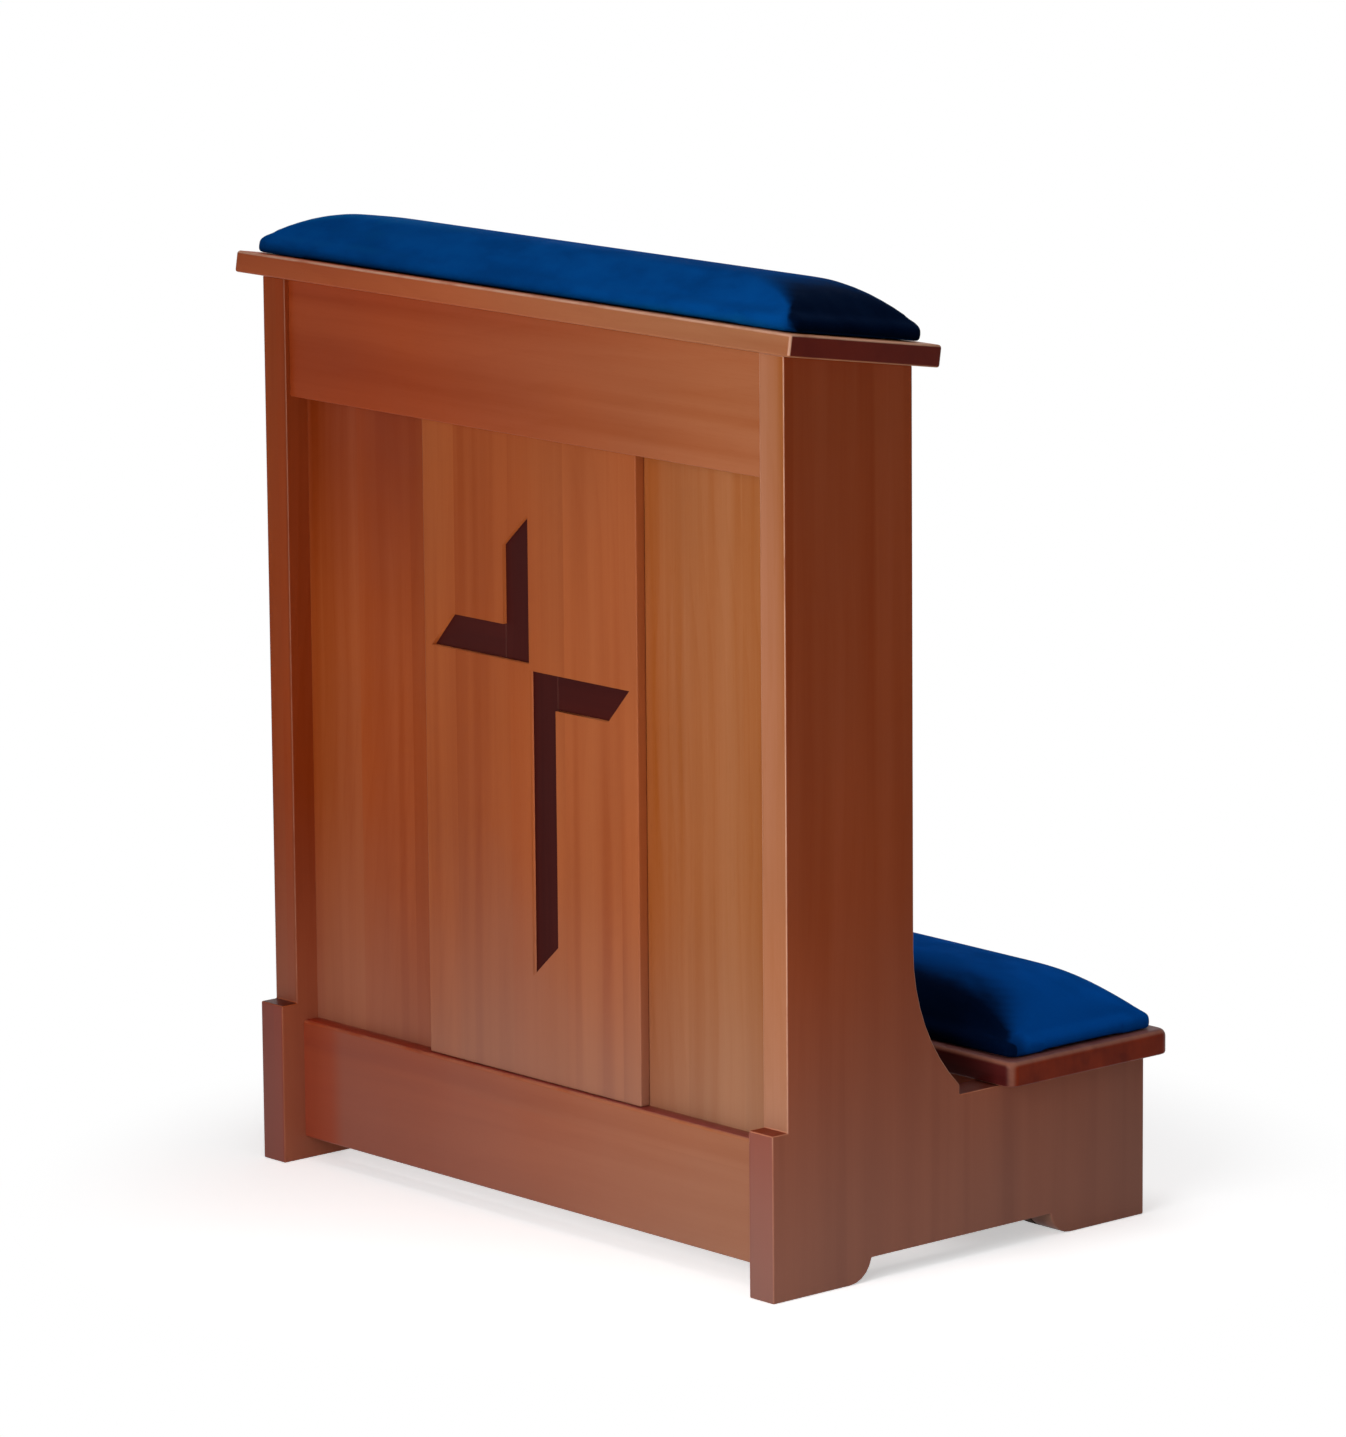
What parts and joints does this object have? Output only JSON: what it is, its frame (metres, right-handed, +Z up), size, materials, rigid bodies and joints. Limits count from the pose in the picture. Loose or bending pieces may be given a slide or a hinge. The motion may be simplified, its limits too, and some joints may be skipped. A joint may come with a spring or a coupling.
{
  "type": "prie-dieu kneeler",
  "caption": "Wooden prayer kneeler: framed front with an inlaid cross, sloping padded armrest, book shelf and a low padded kneeling board.",
  "frame": {"origin": "centre of the bounding box on the floor, midway between the two sides", "axes": "+Z up, -Y out of the front that carries the cross, +Y towards the kneeling side, +X to the right of someone facing the cross"},
  "size_m": [0.724, 0.447, 0.8504],
  "materials": {
    "lacquered_wood": "satin lacquer over reddish-brown stained hardwood, straight grain",
    "panel_wood": "satin lacquer over reddish-brown stained boards, upright grain",
    "dark_wood": "satin dark stained hardwood strips",
    "inner_wood": "planed, unfinished softwood blocks and battens",
    "plywood": "sanded plywood",
    "foam_rubber": "open-cell upholstery foam",
    "blue_cloth": "royal blue short-pile upholstery cloth",
    "steel": "zinc-plated countersunk wood screws"
  },
  "bodies": {
    "root": {"side_panel_left": "lacquered_wood", "side_panel_right": "lacquered_wood", "front_rail": "lacquered_wood", "plinth_board": "lacquered_wood", "top_board": "lacquered_wood", "book_shelf": "lacquered_wood", "kneeler_board": "lacquered_wood", "kneeler_front_rail": "lacquered_wood", "kneeler_rear_rail": "lacquered_wood", "back_panel": "panel_wood", "centre_board": "panel_wood", "cross_upper_stem": "dark_wood", "cross_left_bar": "dark_wood", "cross_lower_stem": "dark_wood", "cross_right_bar": "dark_wood", "kneeler_bearer": "inner_wood", "corner_block_left": "inner_wood", "corner_block_right": "inner_wood", "foot_block_left": "inner_wood", "foot_block_right": "inner_wood", "top_cleat_left": "inner_wood", "top_cleat_right": "inner_wood", "kneeler_cleat_left": "inner_wood", "kneeler_cleat_right": "inner_wood", "armrest_base": "plywood", "knee_pad_base": "plywood", "armrest_foam": "foam_rubber", "knee_pad_foam": "foam_rubber", "armrest_cover": "blue_cloth", "knee_pad_cover": "blue_cloth", "centre_board_screw_1": "steel", "centre_board_screw_2": "steel", "centre_board_screw_3": "steel", "centre_board_screw_4": "steel", "armrest_screw_1": "steel", "armrest_screw_2": "steel", "armrest_screw_3": "steel", "armrest_screw_4": "steel", "knee_pad_screw_1": "steel", "knee_pad_screw_2": "steel", "knee_pad_screw_3": "steel", "knee_pad_screw_4": "steel", "top_cleat_left_side_screw_1": "steel", "top_cleat_left_side_screw_2": "steel", "top_cleat_left_board_screw_1": "steel", "top_cleat_left_board_screw_2": "steel", "top_cleat_right_side_screw_1": "steel", "top_cleat_right_side_screw_2": "steel", "top_cleat_right_board_screw_1": "steel", "top_cleat_right_board_screw_2": "steel", "kneeler_cleat_left_side_screw_1": "steel", "kneeler_cleat_left_side_screw_2": "steel", "kneeler_cleat_left_board_screw_1": "steel", "kneeler_cleat_left_board_screw_2": "steel", "kneeler_cleat_right_side_screw_1": "steel", "kneeler_cleat_right_side_screw_2": "steel", "kneeler_cleat_right_board_screw_1": "steel", "kneeler_cleat_right_board_screw_2": "steel"}
  },
  "joints": []
}
